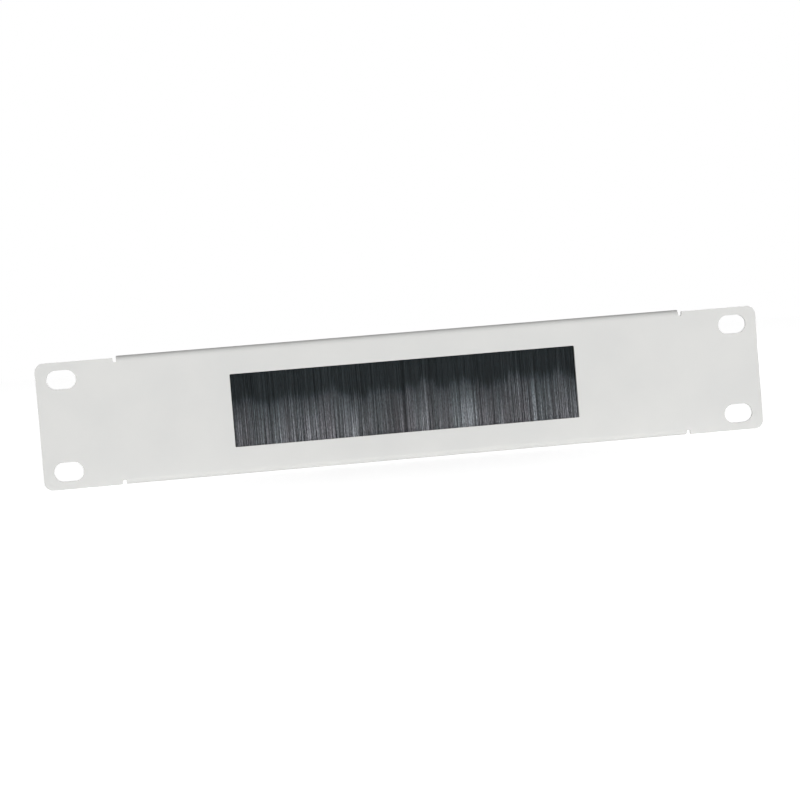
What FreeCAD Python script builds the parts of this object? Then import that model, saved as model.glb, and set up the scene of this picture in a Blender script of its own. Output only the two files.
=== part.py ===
import FreeCAD, Part
import Sketcher
import os

# Brush cable panel for a 10-inch rack, one unit high. Millimetres, +Z up, the front faces -Y.
# The origin is the centre of the four rack slots, on the rear face that seats on the rack.

doc = FreeCAD.newDocument("brush_panel")
sheet = doc.addObject("Spreadsheet::Sheet", "Sizes")

SIZES = [
    ("panel_width", 254.0, "over both ears, the 10-inch rack width"),
    ("panel_height", 43.8, "over the ears; with the fold's rise it stays under a rack unit, 44.45"),
    ("fold_rise", 0.6, "upper fold above the top edge of the ears"),
    ("sheet_thickness", 1.2, "folded steel sheet"),
    ("bend_inner_radius", 0.9, "inside of both folds"),
    ("flange_depth", 15.0, "front face to the rear edge of a flange"),
    ("ear_width", 26.75, "each ear, from its end to the notch"),
    ("flange_corner_radius", 1.5, "rear corners of both flanges"),
    ("relief_width", 1.15, "notch between a flange and an ear"),
    ("relief_radius", 0.5, "notch corner on the ear side"),
    ("relief_mouth_radius", 0.4, "ear corner beside the notch"),
    ("ear_corner_radius", 3.0, "outer corners of the panel"),
    ("slot_inset", 8.7375, "slot centre to the end of its ear, for the rack's 236.525 pitch"),
    ("slot_pitch_up", 31.75, "rack slots, bottom to top"),
    ("slot_length", 10.0, "over the round ends"),
    ("slot_width", 6.5, "clears an M6 screw"),
    ("cutout_width", 121.5, "cable opening"),
    ("cutout_height", 25.4, "cable opening"),
    ("cutout_rise", 0.25, "middle of the cable opening above the panel's middle"),
    ("cutout_corner_radius", 0.4, "cable opening"),
    ("strip_overlap", 4.25, "brush strip past each end of the cut-out"),
    ("channel_width", 5.0, "outside of the U-strip, front to back"),
    ("channel_wall", 0.6, "U-strip sheet"),
    ("wire_diameter", 1.6, "core wire that the filaments fold over"),
    ("nest_gap", 0.05, "play between nested brush pieces"),
    ("tip_overlap", 3.0, "bristles past the lower edge of the cut-out"),
    ("bristle_splay", 0.35, "each face of the curtain, root to tip"),
    ("tuft_pitch", 1.1, "clumps of filaments along the curtain"),
    ("tuft_groove_width", 0.9, "valley between two clumps, at the tips"),
    ("tuft_groove_depth", 0.75, "valley between two clumps, at the tips"),
    ("tip_slit_width", 0.2, "where neighbouring clumps part"),
    ("tip_slit_height", 2.5, "where neighbouring clumps part"),
    ("tip_trim", 1.0, "unevenness of the cut tips"),
    ("clumps_per_wave", 5, "clumps in one rise and fall of the tips"),
    ("holder_wall", 1.0, "extruded bar, each wall"),
    ("holder_gap", 0.35, "top of the bar to the start of the fold above it"),
    ("holder_setback", 0.4, "foot of the bar above the cut-out"),
    ("holder_edge_radius", 0.5, "long upper edges of the bar"),
    ("lip_thickness", 0.6, "lips under the U-strip"),
    ("lip_reach", 0.5, "lips under the U-strip"),
    ("stud_offset", 5.5, "stud past the end of the brush strip"),
    ("tab_margin", 5.5, "stud to the end of the bar"),
    ("tab_root_radius", 0.5, "milled corner where a tab starts"),
    ("tab_corner_radius", 1.0, "outer corners of the tabs"),
    ("stud_diameter", 3.0, "M3 weld stud"),
    ("stud_hole_play", 0.4, "stud hole wider than the stud"),
    ("stud_proud", 1.5, "stud past the nut"),
    ("stud_chamfer", 0.4, "lead-in at the stud's end"),
    ("washer_diameter", 6.0, "small-series M3 washer"),
    ("washer_thickness", 0.5, "small-series M3 washer"),
    ("washer_play", 0.2, "washer bore wider than the stud"),
    ("nut_across_flats", 5.5, "M3 nut"),
    ("nut_height", 2.4, "M3 nut"),
    ("nut_play", 0.1, "nut bore wider than the stud"),
    ("nut_chamfer", 0.35, "depth of the cone on both nut faces"),
]

for row, (alias, value, note) in enumerate(SIZES, start=1):
    sheet.set(f"A{row}", note)
    sheet.set(f"B{row}", str(value))
    sheet.setAlias(f"B{row}", alias)
doc.recompute()

# Places that several pieces share, as expressions on the sheet.
HALF_WIDTH = "Sizes.panel_width / 2"
HALF_HEIGHT = "Sizes.panel_height / 2"
EAR_START = f"{HALF_WIDTH} - Sizes.ear_width"
FLANGE_END = f"{EAR_START} - Sizes.relief_width"
FOLD_TOP = f"{HALF_HEIGHT} + Sizes.fold_rise"
FOLD_FOOT = f"-({HALF_HEIGHT})"
BEND_OUTER_RADIUS = "Sizes.bend_inner_radius + Sizes.sheet_thickness"
BEND_START = f"{FOLD_TOP} - ({BEND_OUTER_RADIUS})"
FLANGE_REAR = "Sizes.flange_depth - Sizes.sheet_thickness"

STRIP_LENGTH = "Sizes.cutout_width + 2 * Sizes.strip_overlap"
STRIP_END = f"({STRIP_LENGTH}) / 2"
CHANNEL_RADIUS = "Sizes.channel_width / 2"
CAVITY_RADIUS = f"{CHANNEL_RADIUS} + Sizes.nest_gap"
ROOT_RADIUS = f"{CHANNEL_RADIUS} - Sizes.channel_wall - Sizes.nest_gap"
BRUSH_Y = f"Sizes.holder_wall + {CAVITY_RADIUS}"
HOLDER_DEPTH = f"2 * ({BRUSH_Y})"
HOLDER_TOP = f"{BEND_START} - Sizes.holder_gap"
CUTOUT_TOP = "Sizes.cutout_rise + Sizes.cutout_height / 2"
CUTOUT_FOOT = "Sizes.cutout_rise - Sizes.cutout_height / 2"
HOLDER_FOOT = f"{CUTOUT_TOP} + Sizes.holder_setback"
CHANNEL_FOOT = f"{HOLDER_FOOT} + Sizes.lip_thickness"
WIRE_Z = f"{HOLDER_TOP} - ({BRUSH_Y})"
TIP_Z = f"{CUTOUT_FOOT} - Sizes.tip_overlap"
TIP_FRONT = f"{BRUSH_Y} - ({ROOT_RADIUS}) - Sizes.bristle_splay"
TIP_REAR = f"{BRUSH_Y} + {ROOT_RADIUS} + Sizes.bristle_splay"

STUD_X = f"{STRIP_END} + Sizes.stud_offset"
STUD_Z = f"({HOLDER_TOP} + {HOLDER_FOOT}) / 2"
TAB_END = f"{STUD_X} + Sizes.tab_margin"
NUT_SEAT = "Sizes.holder_wall + Sizes.washer_thickness"
NUT_TOP = f"{NUT_SEAT} + Sizes.nut_height"


def measure(expression):
    """The present value of an expression on the sheet, in millimetres."""
    return float(sheet.evalExpression(expression))


def new_body(label):
    """An empty body whose label names the sub-part."""
    body = doc.addObject("PartDesign::Body", label)
    body.Label = label
    return body


def origin_feature(body, role):
    """One of the body's own origin planes or axes."""
    return next(item for item in body.Origin.OriginFeatures if item.Role == role)


def new_sketch(body, name, role, offset="0"):
    """A sketch on an origin plane, moved along that plane's normal by an expression."""
    sketch = body.newObject("Sketcher::SketchObject", name)
    sketch.AttachmentSupport = [(origin_feature(body, role), "")]
    sketch.MapMode = "FlatFace"
    sketch.setExpression("AttachmentOffset.Base.z", offset)
    return sketch


def bind(sketch, constraint, expression):
    """Add a dimension to the sketch and tie it to an expression."""
    index = sketch.addConstraint(constraint)
    sketch.setExpression(f"Constraints[{index}]", expression)


def pin(sketch, geometry, position, across, up):
    """Tie one point of the sketch to a place given by two expressions."""
    x_place = Sketcher.Constraint("DistanceX", -1, 1, geometry, position, measure(across))
    y_place = Sketcher.Constraint("DistanceY", -1, 1, geometry, position, measure(up))
    bind(sketch, x_place, across)
    bind(sketch, y_place, up)


def circle(sketch, across, up, diameter):
    """A circle by its centre and diameter."""
    centre = FreeCAD.Vector(measure(across), measure(up), 0)
    index = sketch.addGeometry(Part.Circle(centre, FreeCAD.Vector(0, 0, 1), measure(diameter) / 2), False)
    pin(sketch, index, 3, across, up)
    bind(sketch, Sketcher.Constraint("Diameter", index, measure(diameter)), diameter)


def arc_between(centre, start, end):
    """The counter-clockwise arc about a centre from one point to another."""
    radius = (start - centre).Length
    whole = Part.Circle(centre, FreeCAD.Vector(0, 0, 1), radius)
    return Part.ArcOfCircle(whole, whole.parameter(start), whole.parameter(end))


def outline(sketch, corners):
    """A closed outline, counter-clockwise, through corners given as (across, up, radius).

    The places and radii are expressions, and a radius of None leaves that corner sharp.
    """
    count = len(corners)
    points = [FreeCAD.Vector(measure(across), measure(up), 0) for across, up, radius in corners]
    entries = list(points)
    exits = list(points)
    arcs = [None] * count
    for i, (across, up, radius) in enumerate(corners):
        if radius is None:
            continue
        back = (points[i - 1] - points[i]).normalize()
        ahead = (points[(i + 1) % count] - points[i]).normalize()
        inward = (back + ahead).normalize()
        reach = measure(radius) / abs(FreeCAD.Vector(inward).cross(back).z) * abs(inward.dot(back))
        entries[i] = points[i] + back * reach
        exits[i] = points[i] + ahead * reach
        centre = points[i] + inward * (reach / abs(inward.dot(back)))
        left_turn = back.cross(ahead).z < 0
        start, end = (entries[i], exits[i]) if left_turn else (exits[i], entries[i])
        arcs[i] = (sketch.addGeometry(arc_between(centre, start, end), False), left_turn)
    lines = []
    for i in range(count):
        side = Part.LineSegment(exits[i], entries[(i + 1) % count])
        lines.append(sketch.addGeometry(side, False))
    for i, (across, up, radius) in enumerate(corners):
        before, after = lines[i - 1], lines[i]
        if radius is None:
            sketch.addConstraint(Sketcher.Constraint("Coincident", before, 2, after, 1))
            pin(sketch, after, 1, across, up)
            continue
        arc, left_turn = arcs[i]
        first, last = (1, 2) if left_turn else (2, 1)
        corner = sketch.addGeometry(Part.Point(points[i]), True)
        sketch.addConstraint(Sketcher.Constraint("PointOnObject", corner, 1, before))
        sketch.addConstraint(Sketcher.Constraint("PointOnObject", corner, 1, after))
        pin(sketch, corner, 1, across, up)
        sketch.addConstraint(Sketcher.Constraint("Tangent", before, 2, arc, first))
        sketch.addConstraint(Sketcher.Constraint("Tangent", arc, last, after, 1))
        bind(sketch, Sketcher.Constraint("Radius", arc, measure(radius)), radius)


def rectangle(sketch, left, right, bottom, top, radius=None):
    """A rectangle between four expressions, with equal corners."""
    sides = [(left, bottom), (right, bottom), (right, top), (left, top)]
    outline(sketch, [(across, up, radius) for across, up in sides])


def long_slot(sketch, across, up, length, width):
    """A slot with round ends, lying along the sketch's first axis."""
    half_run = f"({length} - {width}) / 2"
    radius = f"{width} / 2"
    left_place = f"{across} - {half_run}"
    right_place = f"{across} + {half_run}"
    rise = FreeCAD.Vector(0, measure(radius), 0)
    left_centre = FreeCAD.Vector(measure(left_place), measure(up), 0)
    right_centre = FreeCAD.Vector(measure(right_place), measure(up), 0)
    left_end = arc_between(left_centre, left_centre + rise, left_centre - rise)
    right_end = arc_between(right_centre, right_centre - rise, right_centre + rise)
    left = sketch.addGeometry(left_end, False)
    right = sketch.addGeometry(right_end, False)
    below = sketch.addGeometry(Part.LineSegment(left_centre - rise, right_centre - rise), False)
    above = sketch.addGeometry(Part.LineSegment(right_centre + rise, left_centre + rise), False)
    sketch.addConstraint(Sketcher.Constraint("Tangent", left, 2, below, 1))
    sketch.addConstraint(Sketcher.Constraint("Tangent", below, 2, right, 1))
    sketch.addConstraint(Sketcher.Constraint("Tangent", right, 2, above, 1))
    sketch.addConstraint(Sketcher.Constraint("Tangent", above, 2, left, 1))
    sketch.addConstraint(Sketcher.Constraint("Equal", left, right))
    pin(sketch, left, 3, left_place, up)
    pin(sketch, right, 3, right_place, up)
    bind(sketch, Sketcher.Constraint("Radius", left, measure(radius)), radius)


def arch(sketch, radius, foot):
    """The section of the brush strip: two upright legs under a half circle round the core wire."""
    centre = FreeCAD.Vector(measure(BRUSH_Y), measure(WIRE_Z), 0)
    aside = FreeCAD.Vector(measure(radius), 0, 0)
    drop = FreeCAD.Vector(0, measure(foot) - measure(WIRE_Z), 0)
    crown = sketch.addGeometry(arc_between(centre, centre + aside, centre - aside), False)
    front = sketch.addGeometry(Part.LineSegment(centre - aside, centre - aside + drop), False)
    base = sketch.addGeometry(Part.LineSegment(centre - aside + drop, centre + aside + drop), False)
    rear = sketch.addGeometry(Part.LineSegment(centre + aside + drop, centre + aside), False)
    sketch.addConstraint(Sketcher.Constraint("Tangent", crown, 2, front, 1))
    sketch.addConstraint(Sketcher.Constraint("Coincident", front, 2, base, 1))
    sketch.addConstraint(Sketcher.Constraint("Coincident", base, 2, rear, 1))
    sketch.addConstraint(Sketcher.Constraint("Tangent", rear, 2, crown, 1))
    sketch.addConstraint(Sketcher.Constraint("Vertical", front))
    sketch.addConstraint(Sketcher.Constraint("Vertical", rear))
    sketch.addConstraint(Sketcher.Constraint("Horizontal", base))
    pin(sketch, crown, 3, BRUSH_Y, WIRE_Z)
    bind(sketch, Sketcher.Constraint("Radius", crown, measure(radius)), radius)
    bind(sketch, Sketcher.Constraint("DistanceY", -1, 1, base, 1, measure(foot)), foot)


def pad(body, sketch, name, length, side="One side", towards_rear=False):
    """Extrude a sketch by an expression."""
    feature = body.newObject("PartDesign::Pad", name)
    feature.Profile = sketch
    feature.SideType = side
    feature.Reversed = towards_rear
    feature.setExpression("Length", length)
    doc.recompute()
    return feature


def cut(body, sketch, name, side="Symmetric"):
    """Cut a sketch right through, both ways or only against the sketch's normal."""
    volume_before = body.Shape.Volume
    feature = body.newObject("PartDesign::Pocket", name)
    feature.Profile = sketch
    feature.Type = "ThroughAll"
    feature.SideType = side
    doc.recompute()
    if not body.Shape.Volume < volume_before:
        raise RuntimeError(f"{body.Label}: {name} cuts nothing")
    return feature


def mirror(body, name, originals, role="YZ_Plane"):
    """Repeat features on the other side of an origin plane, or the whole body if none are given."""
    feature = body.newObject("PartDesign::Mirrored", name)
    feature.MirrorPlane = (origin_feature(body, role), [""])
    if originals:
        feature.Originals = originals
    else:
        feature.TransformMode = "Whole shape"
    body.Tip = feature
    doc.recompute()
    return feature


def repeat(body, name, originals, spacing, count):
    """Repeat features along X at an even spacing."""
    feature = body.newObject("PartDesign::LinearPattern", name)
    feature.Originals = originals
    feature.Direction = (origin_feature(body, "X_Axis"), [""])
    feature.Mode = "Spacing"
    feature.setExpression("Offset", spacing)
    feature.setExpression("Occurrences", count)
    body.Tip = feature
    doc.recompute()
    return feature


def edges_along(body, axis, wanted):
    """The names of the body's edges that run along an axis and whose first end satisfies a test."""
    names = []
    for number, edge in enumerate(body.Shape.Edges, start=1):
        ends = [vertex.Point for vertex in edge.Vertexes]
        if len(ends) == 2 and (ends[1] - ends[0]).cross(axis).Length < 1e-6 and wanted(ends[0]):
            names.append(f"Edge{number}")
    return names


def near(value, expression):
    """Whether a coordinate, left or right, lies at an expression's value."""
    return abs(abs(value) - measure(expression)) < 1e-4


def dress(body, kind, name, edges, measure_name, expression):
    """Round or chamfer named edges of the body by an expression."""
    base = body.Tip
    feature = body.newObject(f"PartDesign::{kind}", name)
    feature.Base = (base, edges)
    feature.setExpression(measure_name, expression)
    body.Tip = feature
    doc.recompute()
    return feature


def make_front_panel():
    """The folded sheet: a U-section between the notches, an ear at each end, and its openings."""
    body = new_body("front_panel")

    section = new_sketch(body, "panel_section", "YZ_Plane")
    front = "-Sizes.sheet_thickness"
    inside_top = f"{FOLD_TOP} - Sizes.sheet_thickness"
    inside_foot = f"{FOLD_FOOT} + Sizes.sheet_thickness"
    outline(section, [
        (FLANGE_REAR, FOLD_TOP, None),
        (front, FOLD_TOP, BEND_OUTER_RADIUS),
        (front, FOLD_FOOT, BEND_OUTER_RADIUS),
        (FLANGE_REAR, FOLD_FOOT, None),
        (FLANGE_REAR, inside_foot, None),
        ("0", inside_foot, "Sizes.bend_inner_radius"),
        ("0", inside_top, "Sizes.bend_inner_radius"),
        (FLANGE_REAR, inside_top, None),
    ])
    pad(body, section, "folded_sheet", f"2 * ({FLANGE_END})", side="Symmetric")

    # The notches above end where the upper fold starts, and those below are as deep.
    ear = new_sketch(body, "ear_outline", "XZ_Plane")
    outline(ear, [
        (FLANGE_END, f"-({BEND_START})", None),
        (EAR_START, f"-({BEND_START})", "Sizes.relief_radius"),
        (EAR_START, f"-({HALF_HEIGHT})", "Sizes.relief_mouth_radius"),
        (HALF_WIDTH, f"-({HALF_HEIGHT})", "Sizes.ear_corner_radius"),
        (HALF_WIDTH, HALF_HEIGHT, "Sizes.ear_corner_radius"),
        (EAR_START, HALF_HEIGHT, "Sizes.relief_mouth_radius"),
        (EAR_START, BEND_START, "Sizes.relief_radius"),
        (FLANGE_END, BEND_START, None),
    ])
    right_ear = pad(body, ear, "right_ear", "Sizes.sheet_thickness")
    mirror(body, "left_ear", [right_ear])

    rack_slots = new_sketch(body, "rack_slots", "XZ_Plane")
    for x_sign in ("-", ""):
        for z_sign in ("-", ""):
            across = f"{x_sign}({HALF_WIDTH} - Sizes.slot_inset)"
            up = f"{z_sign}Sizes.slot_pitch_up / 2"
            long_slot(rack_slots, across, up, "Sizes.slot_length", "Sizes.slot_width")
    cut(body, rack_slots, "rack_slot_cut")

    opening = new_sketch(body, "cable_opening", "XZ_Plane")
    half_across = "Sizes.cutout_width / 2"
    rectangle(opening, f"-{half_across}", half_across, CUTOUT_FOOT, CUTOUT_TOP, "Sizes.cutout_corner_radius")
    cut(body, opening, "cable_opening_cut")

    upright = FreeCAD.Vector(0, 0, 1)
    at_rear = edges_along(body, upright, lambda end: near(end.x, FLANGE_END) and near(end.y, FLANGE_REAR))
    dress(body, "Fillet", "flange_corners", at_rear, "Radius", "Sizes.flange_corner_radius")
    return body


def make_brush_channel():
    """The U-strip: an arch with a smaller arch taken out of it."""
    body = new_body("brush_channel")
    outside = new_sketch(body, "channel_outside", "YZ_Plane")
    arch(outside, CHANNEL_RADIUS, CHANNEL_FOOT)
    pad(body, outside, "channel_block", STRIP_LENGTH, side="Symmetric")
    inside = new_sketch(body, "channel_inside", "YZ_Plane")
    arch(inside, f"{CHANNEL_RADIUS} - Sizes.channel_wall", HOLDER_FOOT)
    cut(body, inside, "channel_hollow")
    return body


def make_core_wire():
    """The straight wire that the filaments are folded over."""
    body = new_body("core_wire")
    section = new_sketch(body, "wire_section", "YZ_Plane")
    circle(section, BRUSH_Y, WIRE_Z, "Sizes.wire_diameter")
    pad(body, section, "wire", STRIP_LENGTH, side="Symmetric")
    return body


def make_bristles():
    """The filaments: a root folded round the wire and a curtain that parts into clumps at its tips."""
    body = new_body("bristles")
    root = new_sketch(body, "root_section", "YZ_Plane")
    arch(root, ROOT_RADIUS, CHANNEL_FOOT)
    pad(body, root, "root", STRIP_LENGTH, side="Symmetric")

    curtain = new_sketch(body, "curtain_section", "YZ_Plane")
    outline(curtain, [
        (TIP_FRONT, TIP_Z, None),
        (TIP_REAR, TIP_Z, None),
        (f"{BRUSH_Y} + {ROOT_RADIUS}", CHANNEL_FOOT, None),
        (f"{BRUSH_Y} - ({ROOT_RADIUS})", CHANNEL_FOOT, None),
    ])
    pad(body, curtain, "curtain", STRIP_LENGTH, side="Symmetric")

    bore = new_sketch(body, "wire_bore", "YZ_Plane")
    circle(bore, BRUSH_Y, WIRE_Z, "Sizes.wire_diameter + 2 * Sizes.nest_gap")
    cut(body, bore, "wire_hole")

    # The tips end in an uneven line: one rise and fall over a few clumps, repeated.
    wave = "Sizes.clumps_per_wave * Sizes.tuft_pitch"
    wave_count = f"floor(({STRIP_LENGTH}) / ({wave}))"
    wave_start = f"-{wave_count} / 2 * {wave}"
    trim = new_sketch(body, "tip_line", "XZ_Plane")
    outline(trim, [
        (wave_start, TIP_Z, None),
        (f"{wave_start} + {wave}", TIP_Z, None),
        (f"{wave_start} + {wave} / 2", f"{TIP_Z} + Sizes.tip_trim", None),
    ])
    trim_cut = cut(body, trim, "tip_trim_cut")
    repeat(body, "uneven_tips", [trim_cut], wave, wave_count)

    # Valleys between clumps, on both faces, from the foot of the bar down to the tips.
    groove_count = f"floor(({STRIP_LENGTH}) / Sizes.tuft_pitch) - 1"
    first_groove = f"-({groove_count} - 1) / 2 * Sizes.tuft_pitch"
    half_groove = "Sizes.tuft_groove_width / 2"
    valleys = new_sketch(body, "valley_pair", "XY_Plane", HOLDER_FOOT)
    outline(valleys, [
        (f"{first_groove} - {half_groove}", TIP_FRONT, None),
        (f"{first_groove} + {half_groove}", TIP_FRONT, None),
        (first_groove, f"{TIP_FRONT} + Sizes.tuft_groove_depth", None),
    ])
    outline(valleys, [
        (f"{first_groove} + {half_groove}", TIP_REAR, None),
        (f"{first_groove} - {half_groove}", TIP_REAR, None),
        (first_groove, f"{TIP_REAR} - Sizes.tuft_groove_depth", None),
    ])
    valley_cut = cut(body, valleys, "valley_cut", side="One side")

    slit = new_sketch(body, "tip_slit", "XY_Plane", f"{TIP_Z} + Sizes.tip_slit_height")
    half_slit = "Sizes.tip_slit_width / 2"
    rectangle(slit, f"{first_groove} - {half_slit}", f"{first_groove} + {half_slit}", TIP_FRONT, TIP_REAR)
    slit_cut = cut(body, slit, "tip_slit_cut", side="One side")
    repeat(body, "clumps", [valley_cut, slit_cut], "Sizes.tuft_pitch", groove_count)
    return body


def make_brush_holder():
    """The extruded bar: a box section open below, with lips under the U-strip and a tab at each end."""
    body = new_body("brush_holder")
    section = new_sketch(body, "bar_section", "YZ_Plane")
    outline(section, [
        ("0", HOLDER_FOOT, None),
        (HOLDER_DEPTH, HOLDER_FOOT, None),
        (HOLDER_DEPTH, HOLDER_TOP, "Sizes.holder_edge_radius"),
        ("0", HOLDER_TOP, "Sizes.holder_edge_radius"),
    ])
    pad(body, section, "bar", f"2 * ({TAB_END})", side="Symmetric")

    cavity = new_sketch(body, "strip_cavity", "YZ_Plane")
    arch(cavity, CAVITY_RADIUS, CHANNEL_FOOT)
    cut(body, cavity, "strip_cavity_cut")

    mouth = new_sketch(body, "mouth", "YZ_Plane")
    half_mouth = f"({CAVITY_RADIUS} - Sizes.lip_reach)"
    rectangle(mouth, f"{BRUSH_Y} - {half_mouth}", f"{BRUSH_Y} + {half_mouth}", HOLDER_FOOT, CHANNEL_FOOT)
    cut(body, mouth, "mouth_cut")

    end = new_sketch(body, "tab_clearance", "XY_Plane")
    outline(end, [
        (STRIP_END, "Sizes.holder_wall", "Sizes.tab_root_radius"),
        (TAB_END, "Sizes.holder_wall", None),
        (TAB_END, HOLDER_DEPTH, None),
        (STRIP_END, HOLDER_DEPTH, None),
    ])
    right_tab = cut(body, end, "right_tab")
    mirror(body, "left_tab", [right_tab])

    hole = new_sketch(body, "stud_hole", "XZ_Plane")
    circle(hole, STUD_X, STUD_Z, "Sizes.stud_diameter + Sizes.stud_hole_play")
    right_hole = cut(body, hole, "right_stud_hole")
    mirror(body, "left_stud_hole", [right_hole])

    inward = FreeCAD.Vector(0, 1, 0)
    at_foot = edges_along(body, inward, lambda end: near(end.x, TAB_END) and near(end.z, HOLDER_FOOT))
    dress(body, "Fillet", "tab_corners", at_foot, "Radius", "Sizes.tab_corner_radius")
    return body


def make_weld_studs():
    """The two studs, welded end-on to the rear of the sheet."""
    body = new_body("weld_studs")
    section = new_sketch(body, "stud_section", "XZ_Plane")
    circle(section, STUD_X, STUD_Z, "Sizes.stud_diameter")
    stud_length = f"{NUT_TOP} + Sizes.stud_proud"
    pad(body, section, "stud", stud_length, towards_rear=True)
    rims = [
        f"Edge{number}"
        for number, edge in enumerate(body.Shape.Edges, start=1)
        if edge.Closed and near(edge.CenterOfMass.y, stud_length)
    ]
    dress(body, "Chamfer", "stud_lead_in", rims, "Size", "Sizes.stud_chamfer")
    mirror(body, "both_studs", [])
    return body


def make_washers():
    """One flat washer on each tab of the holder."""
    body = new_body("washers")
    section = new_sketch(body, "washer_section", "XZ_Plane", "-Sizes.holder_wall")
    circle(section, STUD_X, STUD_Z, "Sizes.washer_diameter")
    circle(section, STUD_X, STUD_Z, "Sizes.stud_diameter + Sizes.washer_play")
    pad(body, section, "washer", "Sizes.washer_thickness", towards_rear=True)
    mirror(body, "both_washers", [])
    return body


def make_nuts():
    """One hexagon nut on each washer, with a cone turned on both faces."""
    body = new_body("nuts")
    section = new_sketch(body, "nut_section", "XZ_Plane", f"-({NUT_SEAT})")
    half_flats = "Sizes.nut_across_flats / 2"
    half_side = f"{half_flats} / sqrt(3)"
    outline(section, [
        (f"{STUD_X} + {half_flats}", f"{STUD_Z} - {half_side}", None),
        (f"{STUD_X} + {half_flats}", f"{STUD_Z} + {half_side}", None),
        (STUD_X, f"{STUD_Z} + 2 * {half_side}", None),
        (f"{STUD_X} - {half_flats}", f"{STUD_Z} + {half_side}", None),
        (f"{STUD_X} - {half_flats}", f"{STUD_Z} - {half_side}", None),
        (STUD_X, f"{STUD_Z} - 2 * {half_side}", None),
    ])
    circle(section, STUD_X, STUD_Z, "Sizes.stud_diameter + Sizes.nut_play")
    pad(body, section, "hexagon", "Sizes.nut_height", towards_rear=True)

    cones = new_sketch(body, "nut_cones", "YZ_Plane", STUD_X)
    flats_edge = f"{STUD_Z} + {half_flats}"
    corner_edge = f"{STUD_Z} + 2 * {half_side}"
    outline(cones, [
        (NUT_SEAT, flats_edge, None),
        (f"{NUT_SEAT} + Sizes.nut_chamfer", corner_edge, None),
        (NUT_SEAT, corner_edge, None),
    ])
    outline(cones, [
        (NUT_TOP, flats_edge, None),
        (NUT_TOP, corner_edge, None),
        (f"{NUT_TOP} - Sizes.nut_chamfer", corner_edge, None),
    ])
    axis_start = FreeCAD.Vector(measure(NUT_SEAT), measure(STUD_Z), 0)
    axis_end = FreeCAD.Vector(measure(NUT_TOP), measure(STUD_Z), 0)
    axis = cones.addGeometry(Part.LineSegment(axis_start, axis_end), True)
    pin(cones, axis, 1, NUT_SEAT, STUD_Z)
    pin(cones, axis, 2, NUT_TOP, STUD_Z)
    volume_before = body.Shape.Volume
    groove = body.newObject("PartDesign::Groove", "nut_cone_cut")
    groove.Profile = cones
    groove.ReferenceAxis = (cones, ["Axis0"])
    groove.Angle = 360
    doc.recompute()
    if not body.Shape.Volume < volume_before:
        raise RuntimeError("nuts: the cones cut nothing")
    mirror(body, "both_nuts", [])
    return body


bodies = [
    make_front_panel(),
    make_brush_channel(),
    make_core_wire(),
    make_bristles(),
    make_brush_holder(),
    make_weld_studs(),
    make_washers(),
    make_nuts(),
]
doc.recompute()

for item in doc.Objects:
    if "Invalid" in item.State or "Error" in item.State:
        raise RuntimeError(f"{item.Label} failed: {item.State}")
for body in bodies:
    if body.Shape.isNull() or not body.Shape.isValid():
        raise RuntimeError(f"{body.Label} has no valid shape")

os.makedirs("parts", exist_ok=True)
for body in bodies:
    body.Shape.exportStep(f"parts/{body.Label}.step")
    print(body.Label, len(body.Shape.Solids), "solids", round(body.Shape.Volume, 1), "mm3")
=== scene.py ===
import math

import bmesh
import bpy
import numpy as np
from mathutils import Matrix, Vector


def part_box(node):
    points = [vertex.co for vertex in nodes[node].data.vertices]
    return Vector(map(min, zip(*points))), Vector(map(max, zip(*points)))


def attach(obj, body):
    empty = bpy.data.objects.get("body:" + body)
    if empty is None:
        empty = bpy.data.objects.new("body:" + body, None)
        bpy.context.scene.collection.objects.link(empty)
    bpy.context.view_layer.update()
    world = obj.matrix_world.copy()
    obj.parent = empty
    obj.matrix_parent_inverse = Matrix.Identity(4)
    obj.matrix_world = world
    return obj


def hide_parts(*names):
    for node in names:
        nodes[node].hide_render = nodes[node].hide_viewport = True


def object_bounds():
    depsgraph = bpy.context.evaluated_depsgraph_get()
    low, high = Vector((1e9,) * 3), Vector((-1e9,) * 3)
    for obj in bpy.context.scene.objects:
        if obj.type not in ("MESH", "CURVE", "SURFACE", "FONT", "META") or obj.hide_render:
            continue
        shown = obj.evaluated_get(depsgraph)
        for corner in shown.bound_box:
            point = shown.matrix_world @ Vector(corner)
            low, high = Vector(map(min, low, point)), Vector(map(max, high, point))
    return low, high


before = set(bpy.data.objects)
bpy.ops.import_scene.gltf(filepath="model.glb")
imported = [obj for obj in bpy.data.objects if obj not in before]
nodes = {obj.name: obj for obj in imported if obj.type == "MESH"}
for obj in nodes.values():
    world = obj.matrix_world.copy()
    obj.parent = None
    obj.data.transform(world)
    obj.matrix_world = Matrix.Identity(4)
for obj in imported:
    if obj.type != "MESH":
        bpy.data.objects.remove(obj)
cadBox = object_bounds()  # the solids' box, for the floor and the lamp on it
mm = 0.001
print("frame loaded:", ", ".join(sorted(nodes)))


def directionTo(azimuth, elevation):
    # degrees, from the panel: azimuth 0 is straight in front and grows to +X, elevation 0 is level
    az, el = math.radians(azimuth), math.radians(elevation)
    return Vector((math.sin(az) * math.cos(el), -math.cos(az) * math.cos(el), math.sin(el)))


def addObject(name, data):
    made = bpy.data.objects.new(name, data)
    bpy.context.scene.collection.objects.link(made)
    return made


# The photographed view: the camera stands back from its target and is rolled about its own axis.
cameraSet = {
    "target": (-2.29 * mm, -1.2 * mm, -0.96 * mm),
    "azimuth": -6.21,
    "elevation": 2.01,
    "roll": -4.67,
    "distance": 698.89 * mm,
    "lens": 90.0,
    "sensor": 36.0,
    "clip": (0.01, 50.0),
}


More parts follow.
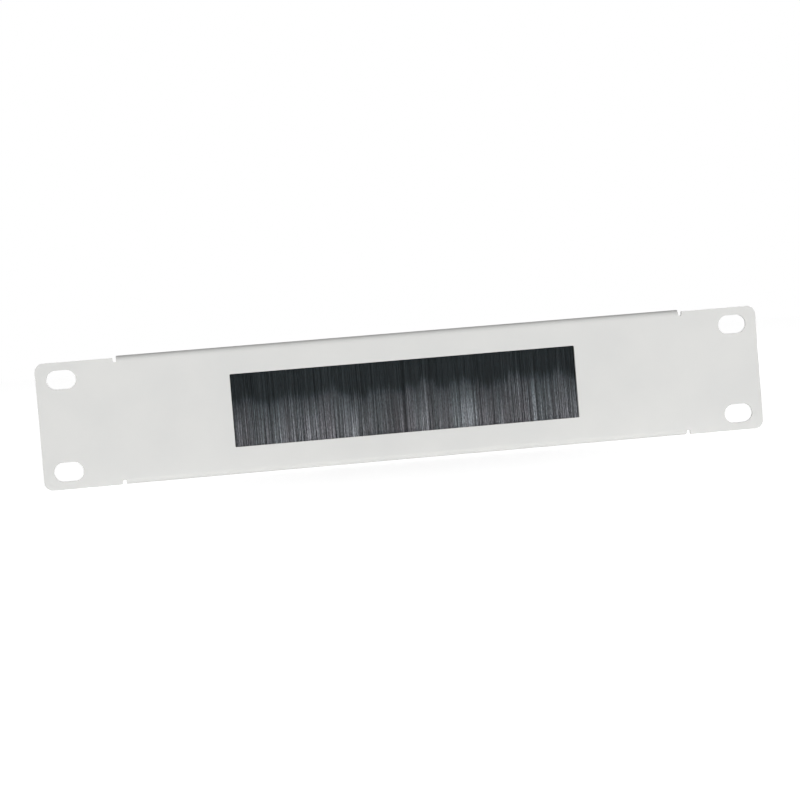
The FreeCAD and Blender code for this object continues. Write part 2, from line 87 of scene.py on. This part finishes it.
def placeCamera(spec):
    back = directionTo(spec["azimuth"], spec["elevation"])
    data = bpy.data.cameras.new("photoCamera")
    data.sensor_width = spec["sensor"]
    data.lens = spec["lens"]
    data.clip_start, data.clip_end = spec["clip"]
    camera = addObject("photoCamera", data)
    level = (-back).to_track_quat("-Z", "Y").to_matrix()
    turned = level @ Matrix.Rotation(math.radians(spec["roll"]), 3, "Z")
    place = Vector(spec["target"]) + back * spec["distance"]
    camera.matrix_world = Matrix.Translation(place) @ turned.to_4x4()
    bpy.context.scene.camera = camera


placeCamera(cameraSet)
print("camera placed")


def smoothMesh(mesh, material):
    # smooth shading, and one finish for the whole piece
    mesh.polygons.foreach_set("use_smooth", np.ones(len(mesh.polygons), bool))
    mesh.materials.clear()
    mesh.materials.append(material)


def addPiece(name, points, faces, material):
    # points is an (n, 3) array in metres, faces a list of index rows that turn outwards
    mesh = bpy.data.meshes.new(name)
    mesh.from_pydata(points.tolist(), [], faces)
    smoothMesh(mesh, material)
    piece = addObject(name, mesh)
    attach(piece, "root")
    return piece


def floatAttribute(mesh, name, values):
    # one number for each vertex, read in the material by its name
    layer = mesh.attributes.new(name, "FLOAT", "POINT")
    layer.data.foreach_set("value", np.ascontiguousarray(values, np.float32).ravel())


def newFinish(name):
    material = bpy.data.materials.new(name)
    material.use_nodes = True
    tree = material.node_tree
    return material, tree, tree.nodes["Principled BSDF"]


def node(tree, kind, **values):
    # a node with its properties set, and its inputs where the name is an input's
    made = tree.nodes.new(kind)
    for key, value in values.items():
        label = key.replace("_", " ")
        if label in made.inputs:
            made.inputs[label].default_value = value
        else:
            setattr(made, key, value)
    return made


def feed(tree, entry, value):
    # the value is a socket to link, a number, or a colour without its alpha
    if isinstance(value, bpy.types.NodeSocket):
        tree.links.new(value, entry)
    else:
        entry.default_value = (*value, 1.0) if isinstance(value, tuple) else value


mixPlaces = {"factor": 0, "first": 6, "second": 7, "result": 2}  # the mix node's sockets for colours


def mixColour(tree, factor, first, second):
    # first where the factor is 0, second where it is 1
    mix = node(tree, "ShaderNodeMix", data_type="RGBA")
    feed(tree, mix.inputs[mixPlaces["factor"]], factor)
    feed(tree, mix.inputs[mixPlaces["first"]], first)
    feed(tree, mix.inputs[mixPlaces["second"]], second)
    return mix.outputs[mixPlaces["result"]]


def remap(tree, value, low, high, toLow, toHigh, smooth=False):
    # low becomes toLow and high becomes toHigh, and nothing goes past them
    change = node(tree, "ShaderNodeMapRange", interpolation_type="SMOOTHSTEP" if smooth else "LINEAR")
    for place, item in enumerate((value, low, high, toLow, toHigh)):
        feed(tree, change.inputs[place], item)
    return change.outputs[0]


def sums(tree, operation, first, second):
    # one operation on two sockets or numbers
    made = node(tree, "ShaderNodeMath", operation=operation)
    for place, item in enumerate((first, second)):
        feed(tree, made.inputs[place], item)
    return made.outputs[0]


noiseRange = (0.3, 0.7)  # nearly all of a noise lies between these


def noiseOn(tree, scale, detail, stretch=None):
    # noise on the piece's own metres; a stretch under 1 lengthens it along that axis
    place = node(tree, "ShaderNodeTexCoord").outputs["Object"]
    if stretch:
        turn = node(tree, "ShaderNodeMapping", Scale=stretch)
        feed(tree, turn.inputs["Vector"], place)
        place = turn.outputs["Vector"]
    made = node(tree, "ShaderNodeTexNoise", Scale=scale, Detail=detail)
    feed(tree, made.inputs["Vector"], place)
    return made.outputs["Fac"]


def addBump(tree, shader, height, strength, distance):
    bump = node(tree, "ShaderNodeBump", Strength=strength, Distance=distance)
    feed(tree, bump.inputs["Height"], height)
    feed(tree, shader.inputs["Normal"], bump.outputs["Normal"])


# Light grey powder coat: fine orange peel, a faint cloudiness and an uneven sheen.
powderSet = {
    "colour": (0.715, 0.715, 0.700),
    "cloudColour": (0.690, 0.692, 0.680),
    "cloudScale": 45.0,  # per metre
    "cloudDetail": 3.0,
    "cloudRange": (0.35, 0.65),
    "peelScale": 900.0,
    "peelDetail": 2.0,
    "peelDepth": 0.012 * mm,
    "peelBump": 0.45,
    "sheen": (0.68, 0.80),  # roughness, low and high
    "specular": 0.14,
}


def makePowderCoat(spec):
    material, tree, shader = newFinish("powderCoat")
    noise = noiseOn(tree, spec["cloudScale"], spec["cloudDetail"])
    cloud = remap(tree, noise, *spec["cloudRange"], 0.0, 1.0)
    feed(tree, shader.inputs["Base Color"], mixColour(tree, cloud, spec["colour"], spec["cloudColour"]))
    peel = noiseOn(tree, spec["peelScale"], spec["peelDetail"])
    feed(tree, shader.inputs["Roughness"], remap(tree, peel, *noiseRange, *spec["sheen"]))
    feed(tree, shader.inputs["Specular IOR Level"], spec["specular"])
    addBump(tree, shader, peel, spec["peelBump"], spec["peelDepth"])
    return material


powderCoat = makePowderCoat(powderSet)

# A copy of a solid has its loose triangles merged and its flat faces made whole before its sharp
# edges are eased; angles in degrees.
copySet = {"weld": 0.002 * mm, "flatAngle": 0.5, "sharpAngle": 35.0, "faceWeight": 100}
# The sheet's edges are eased as a coat rounds them.
panelSet = {"edgeRadius": 0.35 * mm, "segments": 3}


def easedCopy(nodeName, name, spec, material):
    work = bmesh.new()
    work.from_mesh(nodes[nodeName].data)
    bmesh.ops.remove_doubles(work, verts=work.verts, dist=copySet["weld"])
    flatAngle = math.radians(copySet["flatAngle"])
    bmesh.ops.dissolve_limit(work, angle_limit=flatAngle, verts=work.verts, edges=work.edges)
    mesh = bpy.data.meshes.new(name)
    work.to_mesh(mesh)
    work.free()
    smoothMesh(mesh, material)
    piece = addObject(name, mesh)
    ease = piece.modifiers.new("easedEdges", "BEVEL")
    ease.width = spec["edgeRadius"]
    ease.segments = spec["segments"]
    ease.limit_method = "ANGLE"
    ease.angle_limit = math.radians(copySet["sharpAngle"])
    flat = piece.modifiers.new("flatFaces", "WEIGHTED_NORMAL")  # large faces stay flat beside the eased edges
    flat.weight = copySet["faceWeight"]
    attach(piece, "root")
    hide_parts(nodeName)
    return piece


panel = easedCopy("front_panel", "coatedPanel", panelSet, powderCoat)
print("panel coated:", len(panel.data.polygons), "faces before easing")


# Black nylon, dark teal near the roots; the free lengths lighten to a painted grey sheen, painted light
# that starts at a different height in each clump, and there the clumps lean to teal or to violet grey.
nylonSet = {
    "rootColour": (0.0110, 0.0162, 0.0190),
    # painted sheen: the two greys below are light painted on the lower filaments
    "paintedSheenColour": (0.074, 0.086, 0.094),
    "tipColour": (0.262, 0.268, 0.281),
    "tealTint": (0.94, 1.015, 1.03),
    "violetTint": (1.05, 0.98, 1.02),
    "paintedSheenRun": 0.16,  # of the free length, from root colour to the painted sheen
    "contrast": (0.28, 0.80),  # how much of the filaments' unlike shades shows at the root and at the tip
    "contrastRun": (0.24, 0.50),  # of the free length, from one to the other
    "patchRun": (0.45, 0.66),  # where lighter and darker patches come in
    "glint": (0.38, 1.62),  # painted glint: a brightening of the base colour that comes and goes along each filament
    "glintScale": 1000.0,  # per metre
    "glintStretch": (6.0, 6.0, 1.0),
    "glintDetail": 1.0,
    "sheen": (0.62, 0.46),  # roughness at the root and at the tip
    "specular": 0.3,
}


def makeNylon(spec):
    material, tree, shader = newFinish("blackNylon")
    along, start, shade, patch, tint = (
        node(tree, "ShaderNodeAttribute", attribute_name=key).outputs["Fac"]
        for key in ("along", "paintedSheenStart", "shade", "patch", "tint")
    )
    # painted sheen: below its start the colour lightens from the root colour to greys that stand in for light
    # on the filaments
    paintedSheenEnd = sums(tree, "ADD", start, spec["paintedSheenRun"])
    paintedSheen = remap(tree, along, start, paintedSheenEnd, 0.0, 1.0, smooth=True)
    tipward = remap(tree, along, paintedSheenEnd, 1.0, 0.0, 1.0)
    grey = mixColour(tree, tipward, spec["paintedSheenColour"], spec["tipColour"])
    colour = mixColour(tree, paintedSheen, spec["rootColour"], grey)
    leaning = sums(tree, "MULTIPLY", tint, paintedSheen)
    lean = mixColour(tree, leaning, spec["tealTint"], spec["violetTint"])
    tinted = node(tree, "ShaderNodeVectorMath", operation="MULTIPLY")
    feed(tree, tinted.inputs[0], colour)
    feed(tree, tinted.inputs[1], lean)
    contrast = remap(tree, along, *spec["contrastRun"], *spec["contrast"], smooth=True)
    patches = remap(tree, along, *spec["patchRun"], 1.0, patch, smooth=True)
    single = remap(tree, contrast, 0.0, 1.0, 1.0, shade)
    # painted glint: noise along each filament brightens and darkens its base colour
    noise = noiseOn(tree, spec["glintScale"], spec["glintDetail"], spec["glintStretch"])
    glint = remap(tree, noise, *noiseRange, *spec["glint"])
    shaded = node(tree, "ShaderNodeVectorMath", operation="SCALE")
    feed(tree, shaded.inputs[0], tinted.outputs["Vector"])
    feed(tree, shaded.inputs["Scale"], sums(tree, "MULTIPLY", sums(tree, "MULTIPLY", single, patches), glint))
    feed(tree, shader.inputs["Base Color"], shaded.outputs["Vector"])
    feed(tree, shader.inputs["Roughness"], remap(tree, paintedSheen, 0.0, 1.0, *spec["sheen"]))
    feed(tree, shader.inputs["Specular IOR Level"], spec["specular"])
    return material


blackNylon = makeNylon(nylonSet)

# Every filament is a hairpin: up the front, round the core wire, down the rear. Of a pair marked
# clump and filament, the first is the spread from clump to clump, the second a filament's own.
bristleSet = {
    "hairpins": 6400,
    "radius": 0.09 * mm,
    "sides": 3,
    "nest": (0.97 * mm, 1.70 * mm),  # fold radius round the wire, inner and outer
    "mouthRise": 0.3 * mm,  # the legs leave the strip this far above the foot of its holder
    "rootScatter": 0.05 * mm,  # along the strip
    "tipClear": 0.05 * mm,  # lowest tip above the foot of the solid
    "tipSpread": 1.22,  # depth of the curtain at the tips against the mouth
    "tipUneven": (0.54 * mm, 0.36 * mm),  # clump and filament
    "clumpWidth": (0.4 * mm, 1.7 * mm),
    "clumpPull": (0.04, 0.26),
    "lean": (0.144 * mm, 0.084 * mm),  # clump and filament
    "bow": (0.135 * mm, 0.45 * mm),  # how far the middle of a leg stands back from the curtain's face
    "bowMost": 0.6,  # of the leg's own depth
    "paintedSheenStart": 0.305,  # where the painted sheen starts, of the free length
    "paintedSheenWaves": {9.0 * mm: 0.018, 16.0 * mm: 0.024, 37.0 * mm: 0.028},  # the painted sheen's start: length along the strip, rise
    "paintedSheenScatter": (0.022, 0.03),  # the painted sheen's start, clump and filament
    "clumpShade": (0.90, 1.10),
    "shadeSpread": 0.80,  # of the logarithm, from filament to filament
    "shadeMiddle": -0.22,
    "shadeMost": 2.3,
    "patchWaves": {13.0 * mm: 0.11, 21.0 * mm: 0.11, 47.0 * mm: 0.11},
    "tintMiddle": 0.5,
    "tintWaves": {7.0 * mm: 0.12, 14.0 * mm: 0.14, 33.0 * mm: 0.16},
    "tintScatter": (0.15, 0.2),  # clump and filament
    "seed": 11,
}
frontSteps = np.array([1.0, 0.86, 0.71, 0.55, 0.38, 0.2, 0.0])  # from the tip up to the mouth
foldTurns = np.radians([0.0, 60.0, 120.0, 180.0])
rearSteps = np.array([0.0, 0.28, 0.55, 0.8, 1.0])  # from the mouth down to the tip


def clumpsAlong(x, halfLength, spec, dice):
    # cuts the strip into clumps of uneven width; gives each filament its clump's number and middle
    low, high = spec["clumpWidth"]
    widths = dice.uniform(low, high, int(2 * halfLength / low) + 2)
    edges = np.cumsum(widths) - halfLength - high * dice.random()
    number = np.clip(np.searchsorted(edges, x), 1, len(edges) - 1)
    return number, (edges[number - 1] + edges[number]) / 2


def slowWaves(x, waves, dice):
    # a sum of sines along the strip, each with its own length, height and random phase
    return sum(high * np.sin(2 * np.pi * (x / length + dice.random())) for length, high in waves.items())


def legPlaces(x, depth, facing, steps, spec, ends, dice):
    # A leg at a share s of its free length: x goes from its place at the root towards its clump's
    # middle with s squared, plus a lean, both less for the legs deep in the curtain; depth widens
    # evenly to the tip and bows in between; z falls evenly.
    wireY, mouthZ, tipZ, halfLength = ends
    clump, middle = clumpsAlong(x, halfLength, spec, dice)
    most = clump.max() + 1
    free = depth / depth.max()
    pull = dice.uniform(*spec["clumpPull"], most)[clump] * free
    clumpLean, ownLean = spec["lean"]
    lean = (dice.normal(0, clumpLean, most)[clump] + dice.normal(0, ownLean, len(x))) * free
    back = dice.uniform(*spec["bow"], most)[clump]
    clumpRise, ownRise = spec["tipUneven"]
    rise = dice.random(most)[clump] * clumpRise + dice.random(len(x)) * ownRise
    s = steps[None, :]
    placeX = x[:, None] + (pull * (middle - x) + lean)[:, None] * s**2
    reach = depth[:, None] * (1 + (spec["tipSpread"] - 1) * s)
    inward = np.minimum(back[:, None] * np.sin(np.pi * s) ** 2, spec["bowMost"] * reach)
    placeY = wireY + facing * (reach - inward)
    placeZ = mouthZ + (tipZ + rise[:, None] - mouthZ) * s
    limit = halfLength - spec["radius"]
    places = np.stack([np.clip(placeX, -limit, limit), placeY, placeZ], axis=2)
    return places, legLooks(x, clump, most, spec, dice)


def legLooks(x, clump, most, spec, dice):
    # The painted sheen's start, the tint and the patches change in slow waves along the strip and a little
    # from clump to clump, the first two from filament to filament as well; the shade is each one's own.
    clumpPaintedSheen, ownPaintedSheen = spec["paintedSheenScatter"]
    start = spec["paintedSheenStart"] + slowWaves(x, spec["paintedSheenWaves"], dice)
    start += dice.normal(0, clumpPaintedSheen, most)[clump] + dice.normal(0, ownPaintedSheen, len(x))
    clumpTint, ownTint = spec["tintScatter"]
    tint = spec["tintMiddle"] + slowWaves(x, spec["tintWaves"], dice)
    tint += dice.uniform(-clumpTint, clumpTint, most)[clump] + dice.normal(0, ownTint, len(x))
    shade = np.exp(dice.normal(spec["shadeMiddle"], spec["shadeSpread"], len(x)))
    patch = dice.uniform(*spec["clumpShade"], most)[clump] * (1 + slowWaves(x, spec["patchWaves"], dice))
    return {
        "paintedSheenStart": start,
        "shade": np.minimum(shade, spec["shadeMost"]),
        "patch": patch,
        "tint": np.clip(tint, 0, 1),
    }


def tubesAlong(paths, radius, sides):
    # Round each path's points stands a ring: centre + radius (cos a X + sin a N), where N is the
    # path's direction crossed with X, so a corner at a = -90 degrees faces out of the curtain.
    # Rings are joined by quads and both ends are capped.
    count, steps, _ = paths.shape
    ahead = np.gradient(paths, axis=1)
    ahead /= np.linalg.norm(ahead, axis=2, keepdims=True)
    across = np.cross(ahead, np.array([1.0, 0.0, 0.0]))
    across /= np.linalg.norm(across, axis=2, keepdims=True)
    side = np.cross(across, ahead)
    turn = np.arange(sides) * 2 * np.pi / sides - np.pi / 2
    ring = np.cos(turn)[:, None] * side[:, :, None, :] + np.sin(turn)[:, None] * across[:, :, None, :]
    points = (paths[:, :, None, :] + radius * ring).reshape(-1, 3)
    index = np.arange(count * steps * sides).reshape(count, steps, sides)
    following = np.roll(index, -1, axis=2)
    corners = [index[:, :-1], following[:, :-1], following[:, 1:], index[:, 1:]]
    quads = np.stack(corners, axis=3).reshape(-1, 4)
    caps = np.concatenate([index[:, 0, ::-1], index[:, -1, :]])
    return points, quads.tolist() + caps.tolist()


def makeFilaments(spec):
    # A hairpin's path is its front leg from the tip up, a half circle round the wire and its rear
    # leg down; the folds' radii fill the ring between inner and outer evenly by its area.
    dice = np.random.default_rng(spec["seed"])
    wireLow, wireHigh = (np.array(corner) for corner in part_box("core_wire"))
    curtainLow, curtainHigh = (np.array(corner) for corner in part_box("bristles"))
    wire = (wireLow + wireHigh) / 2
    halfLength = curtainHigh[0]
    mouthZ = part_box("brush_holder")[0].z + spec["mouthRise"]
    ends = (wire[1], mouthZ, curtainLow[2] + spec["tipClear"], halfLength)
    limit = halfLength - spec["radius"]
    x = np.linspace(-limit, limit, spec["hairpins"])
    x = np.clip(x + dice.normal(0, spec["rootScatter"], len(x)), -limit, limit)
    inner, outer = spec["nest"]
    fold = np.sqrt(dice.uniform(inner**2, outer**2, len(x)))
    depth = (fold - inner) / (outer - inner) * outer  # under the wire the legs close up
    front, frontLook = legPlaces(x, depth, -1, frontSteps, spec, ends, dice)
    rear, rearLook = legPlaces(x, depth, 1, rearSteps, spec, ends, dice)
    arc = np.stack([
        np.broadcast_to(x[:, None], (len(x), len(foldTurns))),
        wire[1] - fold[:, None] * np.cos(foldTurns),
        wire[2] + fold[:, None] * np.sin(foldTurns),
    ], axis=2)
    paths = np.concatenate([front, arc, rear], axis=1)
    along = np.concatenate([frontSteps, np.zeros(len(foldTurns)), rearSteps])
    foldHalf = len(foldTurns) // 2  # the front leg's look goes half round the fold
    lookRows = np.array([len(frontSteps) + foldHalf, foldHalf + len(rearSteps)]) * spec["sides"]
    names = ("leftFilaments", "midLeftFilaments", "midRightFilaments", "rightFilaments")
    for name, part in zip(names, np.array_split(np.arange(len(x)), len(names))):
        points, faces = tubesAlong(paths[part], spec["radius"], spec["sides"])
        piece = addPiece(name, points, faces, blackNylon)
        floatAttribute(piece.data, "along", np.repeat(np.tile(along, len(part)), spec["sides"]))
        for key in frontLook:
            both = np.stack([frontLook[key][part], rearLook[key][part]], axis=1)
            floatAttribute(piece.data, key, np.repeat(both, lookRows, axis=1))
        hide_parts("bristles")
        print("bristles made:", name, len(faces), "faces")


makeFilaments(bristleSet)


# Bare metals: each has a base colour, a second tone and its own grain.
grainSet = {"detail": 3.0, "bump": 0.4}
metalSet = {
    "millAluminium": {
        "colour": (0.60, 0.61, 0.63), "tone": (0.46, 0.47, 0.49), "scale": 40.0,
        "stretch": (0.05, 40.0, 40.0), "sheen": (0.24, 0.40), "depth": 0.004 * mm,
    },
    "galvanised": {
        "colour": (0.43, 0.44, 0.46), "tone": (0.31, 0.33, 0.35), "scale": 350.0,
        "stretch": (1.0, 1.0, 1.0), "sheen": (0.30, 0.52), "depth": 0.005 * mm,
    },
    "zincPlate": {
        "colour": (0.42, 0.43, 0.47), "tone": (0.33, 0.34, 0.36), "scale": 900.0,
        "stretch": (1.0, 1.0, 1.0), "sheen": (0.22, 0.38), "depth": 0.003 * mm,
    },
}


def makeMetal(name, spec):
    material, tree, shader = newFinish(name)
    grain = noiseOn(tree, spec["scale"], grainSet["detail"], spec["stretch"])
    tone = remap(tree, grain, *noiseRange, 0.0, 1.0)
    feed(tree, shader.inputs["Base Color"], mixColour(tree, tone, spec["colour"], spec["tone"]))
    feed(tree, shader.inputs["Roughness"], remap(tree, grain, *noiseRange, *spec["sheen"]))
    feed(tree, shader.inputs["Metallic"], 1.0)
    addBump(tree, shader, grain, grainSet["bump"], spec["depth"])
    return material


metals = {name: makeMetal(name, spec) for name, spec in metalSet.items()}
for nodeName in ("brush_channel", "core_wire"):
    for place in nodes[nodeName].material_slots:
        place.material = metals["galvanised"]

# The holder, the washers and the nuts are copies with lightly broken edges.
holderEdge = {"edgeRadius": 0.10 * mm, "segments": 2}
fixingEdge = {"edgeRadius": 0.08 * mm, "segments": 2}
easedCopy("brush_holder", "holderStrip", holderEdge, metals["millAluminium"])
easedCopy("washers", "flatWashers", fixingEdge, metals["zincPlate"])
easedCopy("nuts", "hexNuts", fixingEdge, metals["zincPlate"])
print("metals given their finishes")


# The studs carry a rolled M3 thread.
studSet = {
    "pitch": 0.5 * mm,
    "threadDepth": 0.3 * mm,
    "flankSlope": 1.15,  # over 1 leaves the crests and the roots a little flat
    "crestFlat": 0.1,
    "around": 40,
    "perTurn": 8,
    "chamfer": 0.4 * mm,
}


def makeStuds(spec):
    # A stud is a surface of turn a and length t: its radius is the crest's less a triangle wave of
    # t / pitch - a / 2 pi with its points cut flat, and no more than the lead-in cone near the end.
    low, high = (np.array(corner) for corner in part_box("weld_studs"))
    crest = (high[2] - low[2]) / 2
    reach = high[0] - crest
    length = high[1] - low[1]
    turn = np.linspace(0, 2 * np.pi, spec["around"], endpoint=False)[None, :]
    t = np.linspace(0, length, int(length / spec["pitch"] * spec["perTurn"]))[:, None]
    wave = np.abs(2 * np.mod(t / spec["pitch"] - turn / (2 * np.pi), 1.0) - 1)
    radius = crest - spec["threadDepth"] * np.clip(spec["flankSlope"] * wave - spec["crestFlat"], 0, 1)
    radius = np.minimum(radius, crest - spec["chamfer"] + (length - t))
    middleZ = (low[2] + high[2]) / 2
    rows, around = radius.shape
    single = np.stack([
        reach + radius * np.cos(turn),
        np.broadcast_to(low[1] + t, radius.shape),
        middleZ + radius * np.sin(turn),
    ], axis=2)
    ends = np.array([[reach, low[1], middleZ], [reach, high[1], middleZ]])
    right = np.concatenate([single.reshape(-1, 3), ends])
    index = np.arange(rows * around).reshape(rows, around)
    following = np.roll(index, -1, axis=1)
    walls = np.stack([index[:-1], index[1:], following[1:], following[:-1]], axis=2).reshape(-1, 4)
    base = np.stack([index[0], following[0], np.full(around, rows * around)], axis=1)
    crown = np.stack([following[-1], index[-1], np.full(around, rows * around + 1)], axis=1)
    left = right - np.array([2 * reach, 0, 0])
    points = np.concatenate([right, left])
    faces = []
    for shift in (0, len(right)):
        for part in (walls, base, crown):
            faces += (part + shift).tolist()
    piece = addPiece("threadedStuds", points, faces, metals["zincPlate"])
    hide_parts("weld_studs")
    print("studs threaded:", len(piece.data.polygons), "faces")


makeStuds(studSet)


# Studio: a white surround, a pale floor under the panel's lower flange, and soft lamps.
surroundSet = {"seen": 1.0, "light": 0.08}  # strength for the eye, and as light on the object


def seenDirectly(tree):
    # 1 for rays from the eye and in reflections or glass, 0 for the light that falls on the object
    path = node(tree, "ShaderNodeLightPath")
    eye = sums(tree, "MAXIMUM", path.outputs["Is Camera Ray"], path.outputs["Is Glossy Ray"])
    return sums(tree, "MAXIMUM", eye, path.outputs["Is Transmission Ray"])


def makeSurround(spec):
    world = bpy.data.worlds.new("surround")
    world.use_nodes = True
    tree = world.node_tree
    surround = tree.nodes["Background"]
    feed(tree, surround.inputs["Color"], (1.0, 1.0, 1.0))
    strength = remap(tree, seenDirectly(tree), 0.0, 1.0, spec["light"], spec["seen"])
    feed(tree, surround.inputs["Strength"], strength)
    bpy.context.scene.world = world


makeSurround(surroundSet)

floorSet = {
    "reach": 4.0,
    "gap": 0.05 * mm,
    "colour": (0.88, 0.88, 0.88),
    "roughness": 0.9,
    "lift": (0.78, 0.92),  # makes the floor read white to the eye, near the panel and far off
    "fade": (0.3, 1.5),
}
floorZ = cadBox[0].z - floorSet["gap"]


def makeFloor(spec):
    material, tree, shader = newFinish("paleFloor")
    feed(tree, shader.inputs["Base Color"], spec["colour"])
    feed(tree, shader.inputs["Roughness"], spec["roughness"])
    feed(tree, shader.inputs["Specular IOR Level"], 0.0)
    feed(tree, shader.inputs["Emission Color"], (1.0, 1.0, 1.0))
    away = node(tree, "ShaderNodeVectorMath", operation="LENGTH")
    feed(tree, away.inputs[0], node(tree, "ShaderNodeTexCoord").outputs["Object"])
    lift = remap(tree, away.outputs["Value"], *spec["fade"], *spec["lift"])
    feed(tree, shader.inputs["Emission Strength"], sums(tree, "MULTIPLY", seenDirectly(tree), lift))
    r = spec["reach"]
    corners = [(-r, -r, floorZ), (r, -r, floorZ), (r, r, floorZ), (-r, r, floorZ)]
    mesh = bpy.data.meshes.new("floor")
    mesh.from_pydata(corners, [], [(0, 1, 2, 3)])
    mesh.materials.append(material)
    floor = addObject("floor", mesh)


makeFloor(floorSet)

lampSet = {
    "key": {"azimuth": 6.0, "elevation": 5.0, "power": 15.4},
    "fill": {"azimuth": -45.0, "elevation": 5.0, "power": 1.8},
    "rearLeft": {"azimuth": -124.0, "elevation": 8.0, "power": 13.0},
    "rearRight": {"azimuth": 124.0, "elevation": 8.0, "power": 13.0},
}
lampSize = {"distance": 1.5, "width": 0.9, "height": 0.26}


def addLamp(name, width, height, power):
    data = bpy.data.lights.new(name, "AREA")
    data.shape = "RECTANGLE"
    data.size, data.size_y = width, height
    data.energy = power
    return addObject(name, data)


def makeLamps(lamps, size):
    for name, lamp in lamps.items():
        back = directionTo(lamp["azimuth"], lamp["elevation"])
        light = addLamp(name, size["width"], size["height"], lamp["power"])
        light.location = back * size["distance"]
        light.rotation_euler = (-back).to_track_quat("-Z", "Y").to_euler()


makeLamps(lampSet, lampSize)

# One more lamp lies on the floor in front, reaches a little under the lower fold and shines up.
bounceSet = {"width": 1.4, "reach": 0.9, "under": 1.7 * mm, "power": 1.15}


def makeBounce(spec):
    light = addLamp("bounce", spec["width"], spec["reach"], spec["power"])
    middleY = cadBox[0].y + spec["under"] - spec["reach"] / 2
    light.location = (0, middleY, (cadBox[0].z + floorZ) / 2)
    light.rotation_euler = (math.pi, 0, 0)
    light.visible_camera = False


makeBounce(bounceSet)
bpy.context.scene.view_settings.view_transform = "Standard"
print("studio lit")
